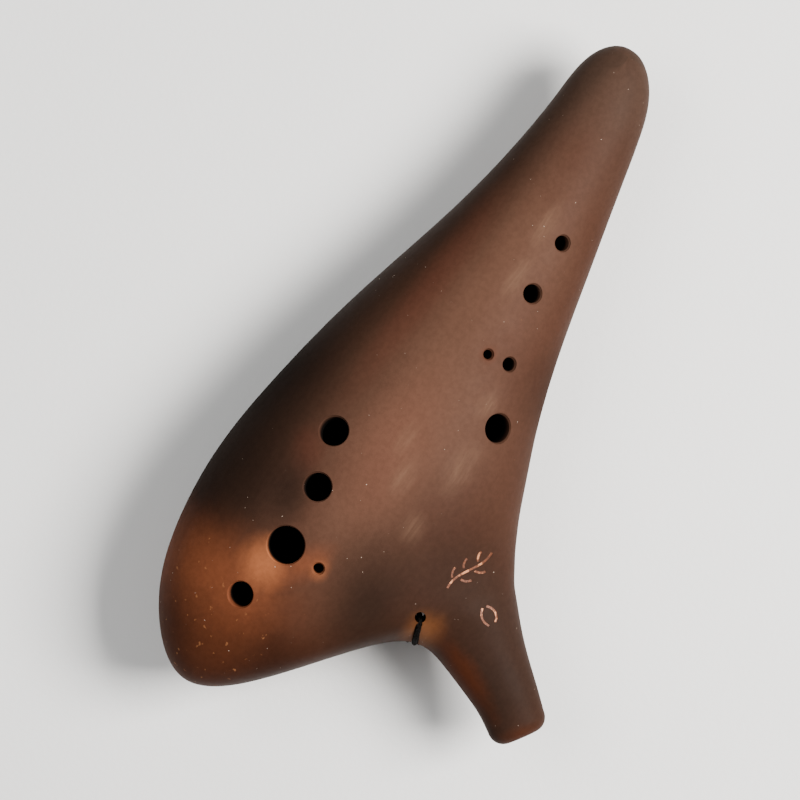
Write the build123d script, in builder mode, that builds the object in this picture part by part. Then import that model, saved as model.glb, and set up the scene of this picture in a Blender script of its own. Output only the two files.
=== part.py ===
from build123d import *
from math import cos, radians, sin
import os

# A twelve-hole transverse bass ocarina in fired clay, lying on its back.
# +X runs from the wide head to the tail, +Z is the side with the finger holes,
# and the mouthpiece points towards -Y and a little -X.
# Every size is in millimetres.

UP = Vector(0, 0, 1)

# ---- vessel ----
SEAM_HEIGHT = 33.1          # the two shells meet at this height
TAIL_TIP = (138.6, 25.2)

# Upright ovals that shape the outside. Each row is a point of the right edge,
# the point of the left edge opposite to it, and half the depth between them.
# Round the head the ovals fan out, and then they follow the mouthpiece.
STATIONS = [
    ((136.0, 17.5), (136.0, 32.5), 6.6),
    ((128.0, 10.9), (128.0, 37.4), 10.4),
    ((112.0, 5.6), (112.0, 39.7), 12.9),
    ((88.0, 0.8), (88.0, 42.8), 15.9),
    ((62.0, -4.5), (62.0, 48.2), 19.8),
    ((32.0, -10.8), (30.0, 57.3), 24.6),
    ((6.0, -18.0), (0.0, 65.6), 28.8),
    ((-10.0, -23.8), (-30.0, 71.8), 31.6),
    ((-19.0, -27.2), (-60.0, 75.6), 33.0),
    ((-26.0, -30.0), (-92.0, 73.8), 32.8),
    ((-32.0, -32.8), (-121.0, 63.6), 30.8),
    ((-37.0, -35.3), (-138.3, 42.0), 27.6),
    ((-42.0, -38.2), (-122.0, 16.8), 23.6),
    ((-47.5, -41.7), (-97.0, -4.6), 19.6),
    ((-53.0, -46.5), (-83.2, -22.5), 16.3),
    ((-60.0, -52.8), (-85.0, -35.0), 13.6),
    ((-68.0, -61.2), (-89.3, -46.3), 11.4),
    ((-76.0, -70.2), (-94.6, -57.6), 9.2),
    ((-82.9, -78.5), (-99.7, -67.0), 7.6),
]
LIP_RADIUS = 5.6            # rounding of the end of the mouthpiece

# ---- air chamber: x, nearest y, farthest y, half depth ----
CHAMBER_TAIL = (127.0, 24.2)
CHAMBER_HEAD = (-132.4, 40.0)
CHAMBER = [
    (122.0, 16.5, 32.0, 4.6),
    (108.0, 10.2, 35.0, 8.2),
    (86.0, 5.8, 37.8, 11.0),
    (60.0, 0.8, 43.0, 14.8),
    (32.0, -5.2, 50.9, 19.2),
    (6.0, -12.2, 58.0, 23.3),
    (-20.0, -18.0, 64.0, 26.2),
    (-46.0, -20.5, 68.2, 26.9),
    (-70.0, -14.0, 70.1, 25.6),
    (-92.0, -1.0, 68.0, 22.4),
    (-110.0, 13.5, 61.8, 17.8),
    (-124.0, 26.0, 54.0, 11.4),
]
COIL_WIDTH = 2.4            # clay rolled over the inside of the seam
COIL_HEIGHT = 5.0
COIL_GAP = 1.4
COIL_HEAD = (-129.0, 40.0)
COIL_TAIL = (103.0, 22.0)

# ---- mouthpiece, windway, window and labium ----
# Distances here run from the end of the mouthpiece along its axis into the body.
MOUTH_END = Vector(-91.3, -72.75, SEAM_HEIGHT)
INWARD = Vector(0.566, 0.8244, 0).normalized()
ACROSS = INWARD.cross(UP)
WINDWAY_WIDTH = 12.5
WINDWAY_MOUTH_HEIGHT = 4.2
WINDWAY_EXIT_HEIGHT = 1.7
WINDWAY_CORNER = 0.3        # corner radius as a share of the windway's height
WINDWAY_OVERRUN = 2.0       # how far its cutter runs into the window
WINDOW_START = 62.7
WINDOW_LENGTH = 8.0
RAMP_LENGTH = 13.0
EDGE_DEPTH = 4.8            # the labium's edge below the outer surface
EDGE_THICKNESS = 0.8
WINDOW_INNER_REACH = 9.0
LABIUM_MARGIN = 2.5
LABIUM_LENGTH = 15.0

# The mouthpiece is joined on along an upright plane across the neck.
ROOT_NORMAL = Vector(0.296, 0.955, 0).normalized()
ROOT_POINT = Vector(-62.0, -31.0, SEAM_HEIGHT)

# ---- tone holes: x, y, diameter ----
FINGER_HOLES = [
    (-100.4, 40.7, 9.2),    # left little finger
    (-76.9, 36.3, 13.6),    # left ring finger
    (-53.5, 37.7, 10.2),    # left middle finger
    (-33.7, 43.3, 10.6),    # left index finger
    (-2.2, -5.8, 10.4),     # right index finger
    (19.2, 2.9, 4.9),       # right middle finger
    (44.9, 9.2, 6.8),       # right ring finger
    (65.9, 9.6, 5.6),       # right little finger
    (-77.8, 22.1, 3.8),     # sub-hole of the left hand
    (18.2, 11.2, 3.4),      # sub-hole of the right hand
]
THUMB_HOLES = [
    (-46.0, 20.0, 9.6),     # left thumb
    (26.0, 14.0, 7.4),      # right thumb
]
RIM_RADIUS = 0.8
RIM_FLARE = radians(30)
BORE_INSIDE = 14.0
BORE_OUTSIDE = 6.0

# ---- lanyard ----
LANYARD_HOLE = Vector(-73.7, -17.8, SEAM_HEIGHT)
LANYARD_DIRECTION = Vector(-0.934, -0.357, 0).normalized()
lanyard_plane = Plane(origin=LANYARD_HOLE, x_dir=LANYARD_DIRECTION, z_dir=LANYARD_DIRECTION.cross(UP))
LANYARD_BORE = 4.0
CORD_DIAMETER = 2.2
CORD_GROOVE = 2.5           # the cord lies in a groove that is cut a little wider
# Corners of the cord's loop: distance from the hole towards the edge, height, rounding.
CORD_CORNERS = [
    (0.9, 24.1, 1.7),
    (8.0, 13.4, 12.0),
    (10.3, 2.0, 6.0),
]
KNOT_PLACE = (6.8, -18.6)
KNOT_RADIUS = 2.8
TAIL_LENGTH = 8.0
TAIL_FALL = -0.9
TAIL_ANGLES = (-28.0, 24.0)

# ---- engraving ----
GROOVE_WIDTH = 0.8
GROOVE_DEPTH = 0.45
FILL_BELOW_SURFACE = 0.12
ABOVE_SKIN = 1.0            # how far the groove cutters stand out of the clay
FLOURISH_CENTRE = (-50.3, -23.9)
EMBLEM_CENTRE = (-60.6, -38.2)
ENGRAVING_ANGLE = -27.0
# Strokes of the two marks, each a run of points seen from above.
FLOURISH = [
    [(-10.0, -1.2), (-3.0, 0.4), (4.0, -0.2), (10.0, 1.2)],
    [(-6.6, 1.1), (-5.6, 2.6), (-3.8, 3.6)],
    [(-1.4, 1.8), (-0.4, 3.2), (1.4, 4.1)],
    [(4.2, 1.1), (5.2, 2.6), (7.0, 3.5)],
    [(-4.4, -1.1), (-3.2, -2.6), (-1.2, -3.4)],
    [(1.4, -1.1), (2.6, -2.6), (4.6, -3.4)],
]
EMBLEM = [
    [(-1.6, -3.4), (-2.4, 0.0), (-0.4, 3.4)],
    [(1.0, -3.4), (2.8, -0.2), (1.2, 3.2)],
]


def station(right, left, half_depth):
    """An upright oval from a point of the right edge to one of the left edge."""
    start = Vector(*right, SEAM_HEIGHT)
    end = Vector(*left, SEAM_HEIGHT)
    chord = end - start
    middle = (start + end) / 2
    plane = Plane(origin=middle, x_dir=chord, z_dir=chord.cross(UP))
    with BuildSketch(plane) as oval:
        Ellipse(chord.length / 2, half_depth)
    return oval.sketch


def chamber_form():
    """The egg-shaped air space."""
    sections = [Vertex(*CHAMBER_TAIL, SEAM_HEIGHT)]
    for x, near, far, half_depth in CHAMBER:
        plane = Plane(origin=(x, (near + far) / 2, SEAM_HEIGHT), x_dir=(0, 1, 0), z_dir=(1, 0, 0))
        with BuildSketch(plane) as oval:
            Ellipse((far - near) / 2, half_depth)
        sections.append(oval.sketch)
    sections.append(Vertex(*CHAMBER_HEAD, SEAM_HEIGHT))
    with BuildPart() as egg:
        loft(sections)
    return egg.part


def coil_outline(inset):
    """The edge of the air space at the seam, drawn in by the inset."""
    rows = CHAMBER[2:]
    near_side = [(x, near + inset) for x, near, far, half_depth in rows]
    far_side = [(x, far - inset) for x, near, far, half_depth in reversed(rows)]
    head = (COIL_HEAD[0] + inset, COIL_HEAD[1])
    tail = (COIL_TAIL[0] - inset, COIL_TAIL[1])
    with BuildSketch(mode=Mode.PRIVATE) as outline:
        with BuildLine():
            Spline(*near_side, head, *far_side, tail, periodic=True)
        make_face()
    return outline.sketch_local


def skin_point(body, x, y, upper):
    """Where an upright line leaves the body, and the outward normal there."""
    hits = body.find_intersection_points(Axis((x, y, SEAM_HEIGHT), (0, 0, 1 if upper else -1)))
    forward = [hit for hit in hits if (hit[0].Z > SEAM_HEIGHT) == upper]
    point, normal = max(forward, key=lambda hit: abs(hit[0].Z - SEAM_HEIGHT))
    outward = 1 if upper else -1
    return point, normal * (1 if normal.Z * outward > 0 else -1)


def bore_cutter(point, normal, diameter):
    """A bore along the skin's normal, with a rim that is rounded and then flares out."""
    sideways = Plane(origin=point, z_dir=normal).x_dir
    radius = diameter / 2
    arc_end = (radius + RIM_RADIUS * (1 - sin(RIM_FLARE)), RIM_RADIUS * (cos(RIM_FLARE) - 1))
    flare_end = (arc_end[0] + RIM_RADIUS * cos(RIM_FLARE), arc_end[1] + RIM_RADIUS * sin(RIM_FLARE))
    with BuildPart() as cutter:
        with BuildSketch(Plane(origin=point, x_dir=sideways, z_dir=sideways.cross(normal))):
            with BuildLine():
                Polyline((radius, -RIM_RADIUS), (radius, -BORE_INSIDE), (0, -BORE_INSIDE),
                         (0, BORE_OUTSIDE), (flare_end[0], BORE_OUTSIDE), flare_end, arc_end)
                RadiusArc(arc_end, (radius, -RIM_RADIUS), RIM_RADIUS)
            make_face()
        revolve(axis=Axis(point, normal))
    return cutter.part


def along(distance, height, sideways=0.0):
    """A point in the mouthpiece's own terms; height is measured from the seam."""
    return MOUTH_END + INWARD * distance + ACROSS * sideways + UP * height


def stroke_prism(centre, strokes):
    """Upright walls of the strokes, each a run of points on the skin seen from above."""
    with BuildPart() as prism:
        for points in strokes:
            plane = Plane(origin=(*centre, SEAM_HEIGHT)).rotated((0, 0, ENGRAVING_ANGLE))
            with BuildSketch(plane):
                with BuildLine() as line:
                    Spline(*points)
                trace(line.line, line_width=GROOVE_WIDTH)
            extrude(amount=SEAM_HEIGHT)
    return prism.part


def below_skin(prism, top, bottom):
    """The part of the prism between two depths under the skin."""
    with BuildPart() as layer:
        add(prism)
        add(outside.part.translate((0, 0, -top)), mode=Mode.INTERSECT)
        add(outside.part.translate((0, 0, -bottom)), mode=Mode.SUBTRACT)
    return layer.part


def cord_loop(diameter):
    """A tube of that diameter along the cord's closed route."""
    lower = [(reach, -height, radius) for reach, height, radius in reversed(CORD_CORNERS)]
    corners = CORD_CORNERS + lower
    with BuildPart() as loop:
        with BuildLine(lanyard_plane) as route:
            FilletPolyline(
                *[(reach, height) for reach, height, radius in corners],
                radius=[radius for reach, height, radius in corners],
                close=True,
            )
        outermost = route.line.edges().sort_by(Axis(LANYARD_HOLE, LANYARD_DIRECTION))[-1]
        with BuildSketch(Plane(origin=outermost @ 0, z_dir=outermost % 0)):
            Circle(diameter / 2)
        sweep(path=route.wire())
    return loop.part


# ---- outside of the whole clay body ----
with BuildPart() as outside:
    loft([Vertex(*TAIL_TIP, SEAM_HEIGHT)] + [station(*row) for row in STATIONS])
    fillet(outside.edges().group_by(Axis(MOUTH_END, INWARD * -1))[-1], LIP_RADIUS)


# ---- air chamber, windway, window and bores, as one set of hollows ----
chamber = chamber_form()

edge = WINDOW_START + WINDOW_LENGTH
ramp_end = edge + RAMP_LENGTH
edge_skin = skin_point(outside.part, along(edge, 0).X, along(edge, 0).Y, False)[0]
ramp_skin = skin_point(outside.part, along(ramp_end, 0).X, along(ramp_end, 0).Y, False)[0]
edge_height = edge_skin.Z - SEAM_HEIGHT + EDGE_DEPTH
ramp_height = ramp_skin.Z - SEAM_HEIGHT
inner_height = edge_height + EDGE_DEPTH + WINDOW_INNER_REACH
outer_side = ramp_height - BORE_OUTSIDE

window_plane = Plane(origin=MOUTH_END, x_dir=INWARD, z_dir=ACROSS)
with BuildPart() as window:
    with BuildSketch(window_plane):
        with BuildLine():
            Polyline(
                (WINDOW_START, outer_side),
                (WINDOW_START, inner_height),
                (edge + WINDOW_INNER_REACH, inner_height),
                (edge + WINDOW_INNER_REACH, edge_height + EDGE_THICKNESS),
                (edge, edge_height + EDGE_THICKNESS),
                (edge, edge_height),
                (ramp_end, ramp_height),
                (ramp_end, outer_side),
                close=True,
            )
        make_face()
    extrude(amount=WINDWAY_WIDTH / 2, both=True)

# The windway is a flat funnel that aims at the labium's edge.
entry = along(-1, 0)
target = along(edge, edge_height + EDGE_THICKNESS / 2)
aim = (target - entry).normalized()
exit_point = entry + aim * ((WINDOW_START + WINDWAY_OVERRUN) / aim.dot(INWARD))
with BuildPart() as windway:
    for point, height in ((entry, WINDWAY_MOUTH_HEIGHT), (exit_point, WINDWAY_EXIT_HEIGHT)):
        with BuildSketch(Plane(origin=point, x_dir=ACROSS, z_dir=aim)):
            RectangleRounded(WINDWAY_WIDTH, height, height * WINDWAY_CORNER)
    loft()

finger_skins = [(*skin_point(outside.part, x, y, True), size) for x, y, size in FINGER_HOLES]
thumb_skins = [(*skin_point(outside.part, x, y, False), size) for x, y, size in THUMB_HOLES]

with BuildPart() as clay:
    add(outside.part)
    add(chamber, mode=Mode.SUBTRACT)
    for skin, normal, size in finger_skins + thumb_skins:
        add(bore_cutter(skin, normal, size), mode=Mode.SUBTRACT)
    add(window.part, mode=Mode.SUBTRACT)
    add(windway.part, mode=Mode.SUBTRACT)
    with BuildSketch(Plane(origin=(LANYARD_HOLE.X, LANYARD_HOLE.Y, 0))):
        Circle(LANYARD_BORE / 2)
    extrude(amount=SEAM_HEIGHT * 2, mode=Mode.SUBTRACT)
    add(cord_loop(CORD_GROOVE), mode=Mode.SUBTRACT)

# ---- engraving: strokes cut just under the skin, and the pigment in them ----
flourish_prism = stroke_prism(FLOURISH_CENTRE, FLOURISH)
emblem_prism = stroke_prism(EMBLEM_CENTRE, EMBLEM)
grooves = [below_skin(prism, -ABOVE_SKIN, GROOVE_DEPTH) for prism in (flourish_prism, emblem_prism)]

# ---- the fired clay, cut into the pieces that it is joined from ----
seam_plane = Plane(origin=(0, 0, SEAM_HEIGHT))
root_plane = Plane(origin=ROOT_POINT, z_dir=ROOT_NORMAL)
labium_centre = along(edge + LABIUM_LENGTH / 2, -SEAM_HEIGHT / 2)
labium_plane = Plane(origin=labium_centre, x_dir=INWARD, z_dir=UP)

with BuildPart() as labium_block:
    with BuildSketch(labium_plane):
        Rectangle(LABIUM_LENGTH, WINDWAY_WIDTH + 2 * LABIUM_MARGIN)
    extrude(amount=SEAM_HEIGHT / 2, both=True)

with BuildPart() as front_shell:
    add(clay.part)
    split(bisect_by=root_plane, keep=Keep.TOP)
    split(bisect_by=seam_plane, keep=Keep.TOP)
    for groove in grooves:
        add(groove, mode=Mode.SUBTRACT)

with BuildPart() as mouthpiece:
    add(clay.part)
    split(bisect_by=root_plane, keep=Keep.BOTTOM)
    for groove in grooves:
        add(groove, mode=Mode.SUBTRACT)

with BuildPart() as back_half:
    add(clay.part)
    split(bisect_by=root_plane, keep=Keep.TOP)
    split(bisect_by=seam_plane, keep=Keep.BOTTOM)

with BuildPart() as back_shell:
    add(back_half.part)
    add(labium_block.part, mode=Mode.SUBTRACT)

with BuildPart() as labium:
    add(back_half.part)
    add(labium_block.part, mode=Mode.INTERSECT)

with BuildPart() as seam_coil:
    with BuildSketch(seam_plane.offset(-COIL_HEIGHT / 2)):
        add(coil_outline(COIL_GAP))
        add(coil_outline(COIL_GAP + COIL_WIDTH), mode=Mode.SUBTRACT)
    extrude(amount=COIL_HEIGHT)
    add(window.part, mode=Mode.SUBTRACT)

with BuildPart() as flourish_fill:
    add(below_skin(flourish_prism, FILL_BELOW_SURFACE, GROOVE_DEPTH))

with BuildPart() as emblem_fill:
    add(below_skin(emblem_prism, FILL_BELOW_SURFACE, GROOVE_DEPTH))

# ---- lanyard: a loop of cord through the hole and round the edge, tied behind ----
with BuildPart() as lanyard_cord:
    add(cord_loop(CORD_DIAMETER))

knot_centre = lanyard_plane.from_local_coords((*KNOT_PLACE, 0))
with BuildPart() as cord_knot:
    with Locations(knot_centre):
        Sphere(KNOT_RADIUS)
    for angle in TAIL_ANGLES:
        fall = (LANYARD_DIRECTION + UP * TAIL_FALL).rotate(Axis.Z, angle).normalized()
        with BuildSketch(Plane(origin=knot_centre, z_dir=fall)):
            Circle(CORD_DIAMETER / 2)
        extrude(amount=TAIL_LENGTH)
    add(outside.part, mode=Mode.SUBTRACT)
    add(lanyard_cord.part, mode=Mode.SUBTRACT)

PIECES = {
    "front_shell": front_shell,
    "back_shell": back_shell,
    "mouthpiece": mouthpiece,
    "labium": labium,
    "seam_coil": seam_coil,
    "flourish_fill": flourish_fill,
    "emblem_fill": emblem_fill,
    "lanyard_cord": lanyard_cord,
    "cord_knot": cord_knot,
}
os.makedirs("parts", exist_ok=True)
for name, piece in PIECES.items():
    piece.part.label = name
    export_step(piece.part, f"parts/{name}.step")
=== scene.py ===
"""Looks for a twelve-hole transverse ocarina in smoke-fired clay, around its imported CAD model."""

import math

import bmesh
import bpy
from mathutils import Matrix, Vector


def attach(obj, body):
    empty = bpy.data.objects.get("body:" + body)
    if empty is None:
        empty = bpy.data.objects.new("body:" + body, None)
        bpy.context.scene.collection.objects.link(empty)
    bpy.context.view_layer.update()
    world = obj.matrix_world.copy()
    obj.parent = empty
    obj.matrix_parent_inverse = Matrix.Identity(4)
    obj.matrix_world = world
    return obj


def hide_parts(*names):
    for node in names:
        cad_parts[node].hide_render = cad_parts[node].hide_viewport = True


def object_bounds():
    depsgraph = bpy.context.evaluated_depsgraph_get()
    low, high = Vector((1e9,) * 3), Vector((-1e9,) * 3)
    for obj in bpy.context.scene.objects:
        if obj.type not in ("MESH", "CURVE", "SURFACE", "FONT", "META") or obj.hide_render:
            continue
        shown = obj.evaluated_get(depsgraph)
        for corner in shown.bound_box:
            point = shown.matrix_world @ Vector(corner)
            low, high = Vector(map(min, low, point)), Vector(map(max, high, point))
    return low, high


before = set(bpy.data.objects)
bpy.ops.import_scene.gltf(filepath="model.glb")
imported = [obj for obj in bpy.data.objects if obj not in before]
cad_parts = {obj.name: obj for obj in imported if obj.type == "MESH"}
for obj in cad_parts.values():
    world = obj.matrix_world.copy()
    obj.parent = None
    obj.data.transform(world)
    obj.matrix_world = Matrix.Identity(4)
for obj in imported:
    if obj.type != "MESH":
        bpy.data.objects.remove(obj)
cad_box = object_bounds()

MM = 0.001
SEAM = 33.1 * MM                  # height of the seam between the two shells


def mm(x, y, z=0.0):
    """A point given in millimetres, in the frame's metres."""
    return Vector((x, y, z)) * MM


def linear(red, green, blue):
    """A display colour, 0 to 255 a channel, as the linear colour that shaders use."""
    channels = [value / 255 for value in (red, green, blue)]
    return tuple(c / 12.92 if c <= 0.04045 else ((c + 0.055) / 1.055) ** 2.4 for c in channels) + (1.0,)


# ---- camera: straight down, with the body turned in the picture ----
VIEW_CENTRE = mm(-12.1, 29.2, 33.1)
VIEW_TURN = math.radians(58)
VIEW_RIGHT = Vector((math.cos(VIEW_TURN), -math.sin(VIEW_TURN), 0.0))
VIEW_UP = Vector((math.sin(VIEW_TURN), math.cos(VIEW_TURN), 0.0))
VIEW_WIDTH = 0.288
CAMERA_DISTANCE = 1.5
CAMERA_REACH = 10.0
SENSOR = 36.0                     # millimetres, as Blender measures a lens


def add_camera():
    """A long lens that fills the picture with VIEW_WIDTH at the object's height."""
    data = bpy.data.cameras.new("camera")
    data.sensor_width = SENSOR
    data.lens = SENSOR * CAMERA_DISTANCE / VIEW_WIDTH
    data.clip_end = CAMERA_REACH
    camera = bpy.data.objects.new("camera", data)
    bpy.context.scene.collection.objects.link(camera)
    towards = VIEW_RIGHT.cross(VIEW_UP)
    turned = Matrix((VIEW_RIGHT, VIEW_UP, towards)).transposed().to_4x4()
    camera.matrix_world = Matrix.Translation(VIEW_CENTRE + towards * CAMERA_DISTANCE) @ turned
    bpy.context.scene.camera = camera


# ---- light ----
LIGHT_TARGET = mm(0, 15, 33)
WORLD_LIGHT = 0.24
WHITE = (1.0, 1.0, 1.0)
WARM_WHITE = (1.0, 0.97, 0.94)


def area_light(name, towards, distance, size, power, colour=WHITE):
    """A square soft light that looks at the middle of the object."""
    data = bpy.data.lights.new(name, "AREA")
    data.shape = "SQUARE"
    data.size = size
    data.energy = power
    data.color = colour
    light = bpy.data.objects.new(name, data)
    bpy.context.scene.collection.objects.link(light)
    light.location = LIGHT_TARGET + Vector(towards).normalized() * distance
    light.rotation_euler = (LIGHT_TARGET - light.location).to_track_quat("-Z", "Y").to_euler()


def add_lights():
    """A warm key light, a wide fill light and an even white world."""
    area_light("key", towards=(0.50, -0.75, 1.05), distance=1.3, size=0.6, power=50.0, colour=WARM_WHITE)
    area_light("fill", towards=(-0.1, 0.6, 1.0), distance=1.9, size=1.2, power=16.0)
    world = bpy.data.worlds.new("studio")
    world.use_nodes = True
    background = world.node_tree.nodes["Background"]
    background.inputs["Color"].default_value = WHITE + (1.0,)
    background.inputs["Strength"].default_value = WORLD_LIGHT
    bpy.context.scene.world = world


# ---- node graphs ----
class Graph:
    """Builds one material's nodes; every coordinate is the object's own, in metres."""

    def __init__(self, name):
        self.material = bpy.data.materials.new(name)
        self.material.use_nodes = True
        self.tree = self.material.node_tree
        self.tree.nodes.clear()
        self.place = self.node("ShaderNodeTexCoord").outputs["Object"]

    def node(self, kind, **settings):
        made = self.tree.nodes.new(kind)
        for key, value in settings.items():
            setattr(made, key, value)
        return made

    def feed(self, socket, value):
        """Links an output to a socket, or sets a plain value on it."""
        if isinstance(value, bpy.types.NodeSocket):
            self.tree.links.new(value, socket)
        else:
            socket.default_value = value

    def maths(self, operation, a, b=0.0):
        made = self.node("ShaderNodeMath", operation=operation)
        self.feed(made.inputs[0], a)
        self.feed(made.inputs[1], b)
        return made.outputs[0]

    def scaled(self, value, factor, plus=0.0):
        """The value times a factor, with a constant added."""
        made = self.node("ShaderNodeMath", operation="MULTIPLY_ADD")
        self.feed(made.inputs[0], value)
        made.inputs[1].default_value = factor
        made.inputs[2].default_value = plus
        return made.outputs[0]

    def curve(self, value, points):
        """The height over the value of a smooth curve through the points."""
        made = self.node("ShaderNodeFloatCurve")
        drawn = made.mapping.curves[0]
        drawn.points[0].location = points[0]
        drawn.points[1].location = points[-1]
        for point in points[1:-1]:
            drawn.points.new(*point)
        made.mapping.update()
        self.feed(made.inputs["Value"], value)
        return made.outputs["Value"]

    def noise(self, scale, detail=4.0, roughness=0.55, place=None, distortion=0.0):
        made = self.node("ShaderNodeTexNoise")
        self.feed(made.inputs["Vector"], place or self.place)
        made.inputs["Scale"].default_value = scale
        made.inputs["Detail"].default_value = detail
        made.inputs["Roughness"].default_value = roughness
        made.inputs["Distortion"].default_value = distortion
        return made.outputs["Fac"]

    def step(self, value, low, high):
        """0 at low and 1 at high, with a soft step between them; low may be the larger."""
        made = self.node("ShaderNodeMapRange", interpolation_type="SMOOTHSTEP")
        self.feed(made.inputs["Value"], value)
        flipped = low > high
        made.inputs["From Min"].default_value = min(low, high)
        made.inputs["From Max"].default_value = max(low, high)
        made.inputs["To Min"].default_value = 1.0 if flipped else 0.0
        made.inputs["To Max"].default_value = 0.0 if flipped else 1.0
        return made.outputs["Result"]

    def stretched(self, centre, radii, turn=0.0):
        """Coordinates measured from a centre, in units of the three radii, turned about Z."""
        made = self.node("ShaderNodeMapping", vector_type="TEXTURE")
        self.feed(made.inputs["Vector"], self.place)
        made.inputs["Location"].default_value = centre
        made.inputs["Rotation"].default_value = (0.0, 0.0, math.radians(turn))
        made.inputs["Scale"].default_value = radii
        return made.outputs["Vector"]

    def patch(self, centre, radii, turn, inner, wobble, ragged):
        """1 within the inner share of an ellipsoid, fading to 0 at its radii, with an uneven edge."""
        made = self.node("ShaderNodeVectorMath", operation="LENGTH")
        self.feed(made.inputs[0], self.stretched(centre, radii, turn))
        shift = self.scaled(wobble, ragged, plus=-ragged / 2)
        distance = self.maths("ADD", made.outputs["Value"], shift)
        return self.step(distance, low=1.0, high=inner)

    def mix(self, factor, a, b, blend="MIX"):
        made = self.node("ShaderNodeMix", data_type="RGBA", blend_type=blend)
        self.feed(made.inputs["Factor"], factor)
        self.feed(made.inputs["A"], a)
        self.feed(made.inputs["B"], b)
        return made.outputs["Result"]

    def bump(self, height, distance, normal=None):
        made = self.node("ShaderNodeBump")
        made.inputs["Strength"].default_value = 1.0
        made.inputs["Distance"].default_value = distance
        self.feed(made.inputs["Height"], height)
        if normal is not None:
            self.feed(made.inputs["Normal"], normal)
        return made.outputs["Normal"]

    def surface(self, colour, roughness, normal, **plain):
        """The finished material, with plain numbers for the shader's other sockets."""
        shader = self.node("ShaderNodeBsdfPrincipled")
        self.feed(shader.inputs["Base Color"], colour)
        self.feed(shader.inputs["Roughness"], roughness)
        self.feed(shader.inputs["Normal"], normal)
        for key, value in plain.items():
            shader.inputs[key.replace("_", " ")].default_value = value
        output = self.node("ShaderNodeOutputMaterial")
        self.tree.links.new(shader.outputs["BSDF"], output.inputs["Surface"])
        return self.material


# ---- clay ----
BODY = linear(80, 55, 43)
BODY_PATCHES = linear(72, 47, 36)
# painted shade: the colours the two flanks darken to
FAR_FLANK_SHADE = linear(36, 22, 14)
NEAR_FLANK_SHADE = linear(52, 29, 19)
HEAD = linear(66, 34, 20)
# painted shade: darker at the head's end
HEAD_END_SHADE = linear(37, 19, 12)
TAIL = linear(61, 46, 38)
# a greyer brown for the neck and mouthpiece, made darker as painted shade
NECK_TONE_AND_SHADE = linear(41, 28, 22)
# painted sheen: lighter on the top of the crown
CROWN_SHEEN = linear(98, 64, 50)
OXBLOOD = linear(84, 42, 31)
FLASH = linear(116, 64, 40)
EMBER = linear(152, 90, 56)
RUST = linear(76, 36, 18)
OCHRE = linear(104, 62, 32)
# smoke colour, also used for painted shade on the flanks, beside the neck and under the head
SMOKE_AND_SHADE = linear(28, 18, 13)
# soot inside, made near black as painted shade in the air space and bores
SOOT_AND_SHADE = linear(8, 6, 5)
MOTTLE = (0.86, 0.85, 0.84, 1.0)
SPECK = linear(150, 98, 62)
DUST = linear(205, 186, 168)
# painted sheen on the burnish streaks
BURNISH_SHEEN = linear(128, 100, 80)

# The air space runs along X. Against the share of its length: the Y of its middle, half its width and half
# its depth, in decimetres, which keeps the curves between 0 and 1. At the tips it shrinks to almost nothing.
CHAMBER_START = -0.140
CHAMBER_LENGTH = 0.280
DECIMETRES = 10.0                 # in a metre
CHAMBER_MIDDLE = [(0.0, 0.40), (0.06, 0.40), (0.17, 0.335), (0.34, 0.24), (0.52, 0.229), (0.71, 0.219),
                  (0.95, 0.243)]
CHAMBER_WIDTH = [(0.0, 0.001), (0.018, 0.001), (0.028, 0.02), (0.06, 0.136), (0.17, 0.345), (0.34, 0.444),
                 (0.52, 0.351), (0.71, 0.211), (0.88, 0.124), (0.955, 0.05), (0.975, 0.004), (1.0, 0.001)]
CHAMBER_DEPTH = [(0.0, 0.001), (0.018, 0.001), (0.028, 0.02), (0.06, 0.112), (0.17, 0.224), (0.34, 0.269),
                 (0.52, 0.233), (0.71, 0.148), (0.88, 0.082), (0.955, 0.03), (0.975, 0.004), (1.0, 0.001)]

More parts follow.
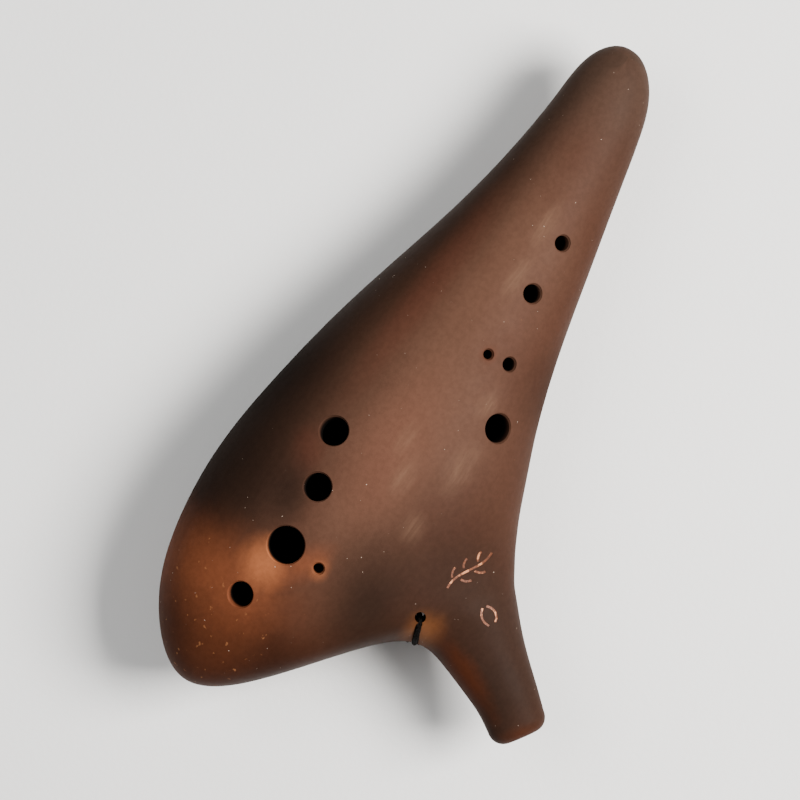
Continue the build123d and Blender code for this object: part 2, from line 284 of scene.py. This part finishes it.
# Clouds of colour in the order they are laid: place, radii, turn, strength, colour; millimetres and degrees.
# Some are painted shade or painted sheen, as marked.
CLOUDS = [
    ((140, 20), (80, 60), 0, 0.8, TAIL),
    ((-116, 42), (56, 66), 0, 1.0, HEAD),
    # painted shade: darker at the head's end
    ((-122, 14), (34, 28), 0, 0.8, HEAD_END_SHADE),
    # greyer neck and mouthpiece, darker as painted shade
    ((-78, -56), (44, 48), -35, 1.0, NECK_TONE_AND_SHADE),
    # painted shade beside the neck and on the head's underside
    ((-56, -14), (44, 28), 12, 0.55, SMOKE_AND_SHADE),
    ((-80, 0), (40, 26), 20, 0.85, SMOKE_AND_SHADE),
    # smoke along the far flank, darkened further as painted shade
    ((-10, 68), (100, 20), 4, 0.4, SMOKE_AND_SHADE),
    # painted sheen: lighter on the top of the crown
    ((-30, 22), (42, 20), 0, 0.55, CROWN_SHEEN),
    ((24, 42), (62, 9), -5, 0.25, OXBLOOD),
    ((-44, 48), (14, 9), 10, 0.35, OXBLOOD),
    ((-97, 53), (26, 38), 0, 0.75, FLASH),
    ((-112, 40), (26, 22), 0, 0.15, FLASH),
    # smoke over the far flank, darkened further as painted shade
    ((-62, 57), (38, 25), 6, 0.68, SMOKE_AND_SHADE),
    ((-60, 45), (18, 11), 20, 0.65, SMOKE_AND_SHADE),
    ((-87, 40), (15, 13), 0, 0.85, EMBER),
    ((-79, 27), (15, 9), -30, 0.6, FLASH),
    ((-78.2, 21.6), (6, 5.5), 0, 0.5, EMBER),
    # greyer neck and mouthpiece, darker as painted shade
    ((-56, -36), (26, 34), -32, 0.6, NECK_TONE_AND_SHADE),
    ((-78, -22), (12, 10), 0, 0.8, OCHRE),
    ((-84, -42), (26, 8), 63, 0.75, RUST),
    # smoke down the mouthpiece's edge, darkened further as painted shade
    ((-93, -50), (24, 6), 63, 0.2, SMOKE_AND_SHADE),
    ((-93, -74), (16, 9), -35, 0.55, RUST),
    ((18, 11), (5, 4), 0, 0.5, RUST),
]
PATCH_HEIGHT = 48                 # millimetres: clouds and places of painted sheen lie on the upper side
PATCH_DEPTH = 80                  # and reach this far down from it, fading
PATCH_RAGGED = 0.6
FINE_EDGED = 30                   # clouds with a first radius under this get a finer, wispy edge

# Places of painted sheen along the burnish streaks: centre, radii and turn, in millimetres and degrees.
BURNISH_SHEEN_PLACES = [
    ((68, 18), (15, 5), 0),
    ((47, 17), (14, 5), -4),
    ((3, 2), (9, 5), -10),
    ((-23, 20), (12, 5), 0),
    ((-22, -2), (16, 8), 0),
    ((-34, 14), (14, 6), 5),
    ((-48, 2), (10, 7), 0),
]
BURNISH_SHEEN_ELSEWHERE = 0.06
STREAK_SIZE = mm(16, 1.6, 1.6)
STREAK_TURN = -4

SPECKED_CENTRE = mm(-112, 44, 48)
SPECKED_RADII = mm(44, 42, 80)


def chamber_place(graph):
    """How deep a point lies, and its share of the way across.

    The depth is 1 on the wall of the air space, less in the air and more in the clay. The share is positive
    towards +Y.
    """
    axis = graph.node("ShaderNodeSeparateXYZ")
    graph.feed(axis.inputs[0], graph.place)
    x, y, z = axis.outputs
    along = graph.scaled(x, 1 / CHAMBER_LENGTH, plus=-CHAMBER_START / CHAMBER_LENGTH)
    middle = graph.curve(along, CHAMBER_MIDDLE)
    width = graph.curve(along, CHAMBER_WIDTH)
    depth = graph.curve(along, CHAMBER_DEPTH)
    across = graph.maths("DIVIDE", graph.maths("SUBTRACT", graph.scaled(y, DECIMETRES), middle), width)
    upward = graph.maths("DIVIDE", graph.scaled(z, DECIMETRES, plus=-SEAM * DECIMETRES), depth)
    across_squared = graph.maths("MULTIPLY", across, across)
    upward_squared = graph.maths("MULTIPLY", upward, upward)
    return graph.maths("SQRT", graph.maths("ADD", across_squared, upward_squared)), across


def skin_patch(graph, centre, radii, turn, inner, wobble):
    """A ragged patch over the upper side, placed in millimetres and degrees."""
    return graph.patch(mm(*centre, PATCH_HEIGHT), mm(*radii, PATCH_DEPTH), turn, inner, wobble, PATCH_RAGGED)


def shaded_flanks(graph, colour, across):
    """Paints shade on both flanks: browner and darker than the crown, the far flank most."""
    far = graph.scaled(graph.step(across, low=0.1, high=1.15), 0.92)
    near = graph.scaled(graph.step(across, low=-0.3, high=-1.3), 0.75)
    return graph.mix(near, graph.mix(far, colour, FAR_FLANK_SHADE), NEAR_FLANK_SHADE)


def clouded(graph, colour, cloud, wisp):
    """Lays the clouds of smoke and fire over the colour, and those of painted shade and painted sheen."""
    for centre, radii, turn, strength, tint in CLOUDS:
        edge = wisp if radii[0] < FINE_EDGED else cloud
        spot = skin_patch(graph, centre, radii, turn, 0.1, edge)
        colour = graph.mix(graph.scaled(spot, strength), colour, tint)
    return colour


def specked(graph, colour, cloud):
    """Adds fine mottling, pale specks that are thickest on the head, and a few grains of dust."""
    grain = graph.noise(scale=520.0, detail=4.0, roughness=0.62)
    mottled = graph.mix(1.0, colour, MOTTLE, "MULTIPLY")
    colour = graph.mix(graph.step(grain, low=0.3, high=0.72), colour, mottled)
    speck = graph.noise(scale=440.0, detail=2.0, roughness=0.5)
    on_head = graph.patch(SPECKED_CENTRE, SPECKED_RADII, turn=0, inner=0.3, wobble=cloud, ragged=0.5)
    gate = graph.scaled(on_head, -0.135, plus=0.79)
    spotted = graph.step(graph.maths("SUBTRACT", speck, gate), low=0.0, high=0.08)
    colour = graph.mix(graph.scaled(spotted, 0.5), colour, SPECK)
    dust = graph.noise(scale=1000.0, detail=1.0, roughness=0.5)
    return graph.mix(graph.scaled(graph.step(dust, low=0.80, high=0.84), 0.7), colour, DUST)


def burnish_and_sheen(graph, colour, wisp):
    """Adds a painted sheen along the streaks that burnishing left on the body, mostly beside the holes."""
    streak_place = graph.stretched(mm(0, 0), STREAK_SIZE, STREAK_TURN)
    streak = graph.noise(scale=1.0, detail=3.0, roughness=0.65, place=streak_place)
    sheen = BURNISH_SHEEN_ELSEWHERE
    for centre, radii, turn in BURNISH_SHEEN_PLACES:
        sheen = graph.maths("MAXIMUM", sheen, skin_patch(graph, centre, radii, turn, 0.0, wisp))
    strength = graph.scaled(graph.step(streak, low=0.38, high=0.72), 0.14, plus=0.1)
    return graph.mix(graph.maths("MULTIPLY", strength, sheen), colour, BURNISH_SHEEN)


def fired_clay():
    """Burnished clay, smoke-fired: brown with sooty clouds, orange flashes and a black inside, with painted
    shade on the flanks and inside and a painted sheen on the crown and burnish streaks.
    """
    graph = Graph("fired_clay")
    cloud = graph.noise(scale=22.0, detail=3.0, roughness=0.5)
    wisp = graph.noise(scale=60.0, detail=5.0, roughness=0.6, distortion=0.6)
    depth, across = chamber_place(graph)
    colour = graph.mix(graph.step(cloud, low=0.35, high=0.7), BODY, BODY_PATCHES)
    # painted shade on both flanks
    colour = shaded_flanks(graph, colour, across)
    colour = clouded(graph, colour, cloud, wisp)
    colour = specked(graph, colour, cloud)
    # painted sheen along the burnish streaks
    colour = burnish_and_sheen(graph, colour, wisp)
    # soot on the inside and down the bores, made near black as painted shade there
    inside = graph.step(depth, low=1.22, high=1.06)
    colour = graph.mix(inside, colour, SOOT_AND_SHADE)

    relief = graph.noise(scale=240.0, detail=5.0, roughness=0.6)
    swell = graph.noise(scale=30.0, detail=2.0, roughness=0.5)
    normal = graph.bump(swell, 0.6 * MM, graph.bump(relief, 0.06 * MM))
    roughness = graph.maths("ADD", graph.scaled(relief, 0.16, plus=0.46), graph.scaled(inside, 0.4))
    return graph.surface(colour, roughness, normal, Specular_IOR_Level=0.03)


def copper_pigment():
    """Copper pigment rubbed into the engraving, with painted highlights in bright patches."""
    graph = Graph("copper_pigment")
    rub = graph.noise(scale=1400.0, detail=4.0, roughness=0.6)
    painted_glint = graph.noise(scale=420.0, detail=2.0, roughness=0.5)
    colour = graph.mix(graph.step(rub, low=0.3, high=0.7), linear(112, 62, 36), linear(66, 36, 23))
    # painted highlights: bright glints in patches on the copper
    colour = graph.mix(graph.step(painted_glint, low=0.54, high=0.64), colour, linear(178, 116, 78))
    roughness = graph.scaled(rub, 0.3, plus=0.3)
    return graph.surface(colour, roughness, graph.bump(rub, 0.12 * MM), Metallic=0.2, Specular_IOR_Level=0.25)


def black_cord():
    """Matt black braid."""
    graph = Graph("black_cord")
    fuzz = graph.noise(scale=5200.0, detail=3.0, roughness=0.6)
    colour = graph.mix(fuzz, linear(4, 3, 3), linear(15, 12, 10))
    roughness = graph.scaled(fuzz, 0.2, plus=0.6)
    return graph.surface(colour, roughness, graph.bump(fuzz, 0.05 * MM), Specular_IOR_Level=0.04)


def paper():
    """The pale paper of the floor."""
    graph = Graph("paper")
    tone = graph.noise(scale=6.0, detail=3.0, roughness=0.5)
    colour = graph.mix(tone, linear(240, 240, 238), linear(246, 246, 245))
    return graph.surface(colour, 0.9, graph.bump(graph.noise(scale=400.0), 0.1 * MM))


CLAY_NODES = ("front_shell", "back_shell", "mouthpiece", "labium", "seam_coil")
PIGMENT_NODES = ("flourish_fill", "emblem_fill")


def give(nodes, material):
    """Gives each CAD node one material over all its faces."""
    for node in nodes:
        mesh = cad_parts[node].data
        mesh.materials.clear()
        mesh.materials.append(material)


# ---- cord: a braided loop in its groove, and the knot behind ----
HOLE = mm(-73.7, -17.8, 33.1)
OUTWARD = Vector((-0.934, -0.357, 0.0)).normalized()
UPWARD = Vector((0.0, 0.0, 1.0))
ASIDE = OUTWARD.cross(UPWARD)
# Corners of the loop: distance from the hole towards the edge, height, rounding, in millimetres.
LOOP_CORNERS = [(0.9, 24.1, 1.7), (8.0, 13.4, 12.0), (10.3, 2.0, 6.0),
                (10.3, -2.0, 6.0), (8.0, -13.4, 12.0), (0.9, -24.1, 1.7)]
CORNER_STEPS = 12
STRANDS = 4                       # each way round
STRAND_RADIUS = 0.33 * MM
TUBE_SIDES = 7
BRAID_RADIUS = 0.66 * MM
BRAID_WAVE = 0.11 * MM            # how far a strand rises and dips where it crosses another
BRAID_STEPS = 28                  # rings in one turn of a strand
LOOP_TURNS = 12
KNOT_CENTRE = (6.8, -18.6)        # towards the edge and up, as for the loop's corners
KNOT_SIZE = 0.62
KNOT_SHARE = 0.78                 # how much thinner the cord is where the knot is pulled tight
KNOT_STEPS = 96
KNOT_TURNS = 5
TAIL_FALL = -0.9                  # height over reach of the two ends as they leave the knot
TAIL_LENGTH = 7.0 * MM
TAIL_DROOP = 0.6 * MM
TAIL_ANGLES = (-28, 24)
TAIL_STEPS = 24


def in_plane(reach, height, aside=0.0):
    """A point from the hole: millimetres out towards the edge, up and aside."""
    return HOLE + (OUTWARD * reach + UPWARD * height + ASIDE * aside) * MM


def evenly(points, count):
    """The run of points again, with that many even steps."""
    lengths = [0.0]
    for before, after in zip(points, points[1:]):
        lengths.append(lengths[-1] + (after - before).length)
    made, index = [], 0
    for step in range(count + 1):
        wanted = lengths[-1] * step / count
        while index < len(points) - 2 and lengths[index + 1] < wanted:
            index += 1
        run = max(lengths[index + 1] - lengths[index], 1e-9)
        made.append(points[index].lerp(points[index + 1], (wanted - lengths[index]) / run))
    return made


def loop_route(corners, count):
    """That many even points round a closed run of straight lines with rounded corners."""
    rough = []
    for index, (reach, height, radius) in enumerate(corners):
        corner = Vector((reach, height))
        back = (Vector(corners[index - 1][:2]) - corner).normalized()
        ahead = (Vector(corners[(index + 1) % len(corners)][:2]) - corner).normalized()
        half = back.angle(ahead) / 2
        middle = corner + (back + ahead).normalized() * radius / math.sin(half)
        tangent = radius / math.tan(half)
        start = corner + back * tangent - middle
        sweep = -start.angle_signed(corner + ahead * tangent - middle)
        for share in range(CORNER_STEPS + 1):
            rough.append(middle + Matrix.Rotation(sweep * share / CORNER_STEPS, 2) @ start)
    return evenly(rough + rough[:1], count)[:-1]


def sections(points, closed):
    """Two directions across the run at each point, carried along without a twist."""
    found, normal = [], ASIDE
    for index, point in enumerate(points):
        before = points[index - 1] if closed or index else point
        after = points[(index + 1) % len(points)] if closed or index < len(points) - 1 else point
        tangent = (after - before).normalized()
        normal = (normal - tangent * normal.dot(tangent)).normalized()
        found.append((normal, tangent.cross(normal)))
    return found


def tube(mesh, points, radius, closed):
    """Adds a tube along the points."""
    angles = [math.tau * k / TUBE_SIDES for k in range(TUBE_SIDES)]
    rings = []
    for point, (normal, side) in zip(points, sections(points, closed)):
        rim = [point + (normal * math.cos(angle) + side * math.sin(angle)) * radius for angle in angles]
        rings.append([mesh.verts.new(place) for place in rim])
    for near, far in zip(rings, rings[1:] + (rings[:1] if closed else [])):
        for k in range(TUBE_SIDES):
            after = (k + 1) % TUBE_SIDES
            mesh.faces.new((near[k], near[after], far[after], far[k]))
    if not closed:
        mesh.faces.new(reversed(rings[0]))
        mesh.faces.new(rings[-1])


def braid(mesh, points, turns, closed, share=1.0):
    """Adds a round braid along the points: strands that cross over and under, on a core."""
    across = sections(points, closed)
    for way in (1, -1):
        for strand in range(STRANDS):
            line = []
            for index, (point, (normal, side)) in enumerate(zip(points, across)):
                wound = math.tau * turns * index / len(points)
                angle = way * wound + math.tau * strand / STRANDS
                reach = (BRAID_RADIUS + BRAID_WAVE * way * math.cos(STRANDS * wound)) * share
                line.append(point + (normal * math.cos(angle) + side * math.sin(angle)) * reach)
            tube(mesh, line, STRAND_RADIUS * share, closed)
    tube(mesh, points, BRAID_RADIUS * share, closed)


def loop_mesh():
    """The closed loop through the hole and round the edge."""
    mesh = bmesh.new()
    points = [in_plane(*point) for point in loop_route(LOOP_CORNERS, LOOP_TURNS * BRAID_STEPS)]
    braid(mesh, points, LOOP_TURNS, closed=True)
    return mesh


def knot_mesh():
    """An overhand knot, drawn as a trefoil, with the cord's two ends."""
    mesh = bmesh.new()
    line = []
    for index in range(KNOT_STEPS + 1):
        t = math.tau * index / KNOT_STEPS
        reach = KNOT_CENTRE[0] + KNOT_SIZE * (math.cos(t) - 2 * math.cos(2 * t))
        height = KNOT_CENTRE[1] + KNOT_SIZE * (math.sin(t) + 2 * math.sin(2 * t))
        line.append(in_plane(reach, height, -KNOT_SIZE * math.sin(3 * t)))
    braid(mesh, line, KNOT_TURNS, closed=False, share=KNOT_SHARE)
    start = in_plane(*KNOT_CENTRE)
    shares = [step / TAIL_STEPS for step in range(TAIL_STEPS + 1)]
    for angle in TAIL_ANGLES:
        fall = (OUTWARD + UPWARD * TAIL_FALL).normalized()
        fall.rotate(Matrix.Rotation(math.radians(angle), 3, "Z"))
        tail = [start + fall * TAIL_LENGTH * s - UPWARD * TAIL_DROOP * s ** 2 for s in shares]
        braid(mesh, tail, turns=1, closed=False)
    return mesh


def finish_piece(name, mesh, material, node):
    """Makes a smooth piece of cord from the mesh, in place of the CAD node."""
    data = bpy.data.meshes.new(name)
    mesh.normal_update()
    mesh.to_mesh(data)
    mesh.free()
    data.polygons.foreach_set("use_smooth", [True] * len(data.polygons))
    data.materials.append(material)
    piece = bpy.data.objects.new(name, data)
    bpy.context.scene.collection.objects.link(piece)
    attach(piece, "root")
    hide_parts(node)


# ---- floor ----
FLOOR_REACH = 3.0
FLOOR_CELLS = 8


def add_floor():
    """A wide sheet of paper under the lowest point of the CAD model."""
    grid = bmesh.new()
    bmesh.ops.create_grid(grid, x_segments=FLOOR_CELLS, y_segments=FLOOR_CELLS, size=FLOOR_REACH)
    data = bpy.data.meshes.new("floor")
    grid.to_mesh(data)
    grid.free()
    data.materials.append(paper())
    floor = bpy.data.objects.new("floor", data)
    floor.location.z = cad_box[0].z
    bpy.context.scene.collection.objects.link(floor)


add_camera()
add_lights()
give(CLAY_NODES, fired_clay())
give(PIGMENT_NODES, copper_pigment())
cord = black_cord()
finish_piece("cord_loop", loop_mesh(), cord, "lanyard_cord")
finish_piece("cord_knot_tied", knot_mesh(), cord, "cord_knot")
add_floor()
